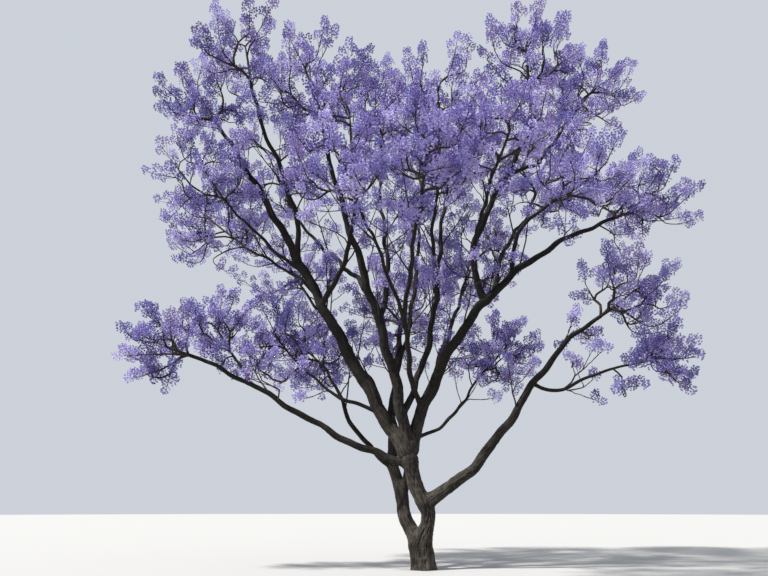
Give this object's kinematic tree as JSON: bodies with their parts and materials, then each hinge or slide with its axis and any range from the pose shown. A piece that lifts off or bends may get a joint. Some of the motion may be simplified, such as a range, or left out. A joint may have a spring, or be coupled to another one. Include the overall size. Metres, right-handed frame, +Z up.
{
  "type": "jacaranda tree",
  "caption": "Mature jacaranda tree in full bloom: a short forked trunk, long spreading boughs and open masses of violet blossom.",
  "frame": {"origin": "middle of the flat cut under the trunk, at ground level", "axes": "+Z up; as seen from the tree's front, +X to the right and +Y away"},
  "size_m": [16.2885, 13.6413, 16.1073],
  "materials": {
    "trunk_bark": "rough furrowed bark",
    "bough_bark": "rough dark bark",
    "blossom": "soft matt petals"
  },
  "bodies": {
    "root": {"blossom_centre_back": "blossom", "blossom_centre_front": "blossom", "blossom_centre_front_left": "blossom", "blossom_centre_left": "blossom", "blossom_centre_left_back": "blossom", "blossom_centre_top": "blossom", "blossom_left_back": "blossom", "blossom_left_high": "blossom", "blossom_left_inner": "blossom", "blossom_left_main": "blossom", "blossom_left_spread": "blossom", "blossom_left_under": "blossom", "blossom_low_left": "blossom", "blossom_low_left_rise": "blossom", "blossom_low_right": "blossom", "blossom_low_right_out": "blossom", "blossom_mid_left": "blossom", "blossom_rear_high": "blossom", "blossom_rear_left": "blossom", "blossom_rear_low": "blossom", "blossom_rear_right": "blossom", "blossom_rear_stem": "blossom", "blossom_right_back": "blossom", "blossom_right_main": "blossom", "blossom_right_mid": "blossom", "blossom_right_rise": "blossom", "blossom_right_rise_front": "blossom", "blossom_right_rise_out": "blossom", "blossom_right_small": "blossom", "bough_centre_back": "bough_bark", "bough_centre_front": "bough_bark", "bough_centre_front_left": "bough_bark", "bough_centre_left": "bough_bark", "bough_centre_left_back": "bough_bark", "bough_centre_top": "bough_bark", "bough_left_back": "bough_bark", "bough_left_high": "bough_bark", "bough_left_inner": "bough_bark", "bough_left_main": "bough_bark", "bough_left_spread": "bough_bark", "bough_left_under": "bough_bark", "bough_low_left": "bough_bark", "bough_low_left_rise": "bough_bark", "bough_low_right": "bough_bark", "bough_low_right_out": "bough_bark", "bough_mid_left": "bough_bark", "bough_rear_high": "bough_bark", "bough_rear_left": "bough_bark", "bough_rear_low": "bough_bark", "bough_rear_right": "bough_bark", "bough_rear_stem": "bough_bark", "bough_right_back": "bough_bark", "bough_right_main": "bough_bark", "bough_right_mid": "bough_bark", "bough_right_rise": "bough_bark", "bough_right_rise_front": "bough_bark", "bough_right_rise_out": "bough_bark", "bough_right_small": "bough_bark", "trunk": "trunk_bark"}
  },
  "joints": []
}
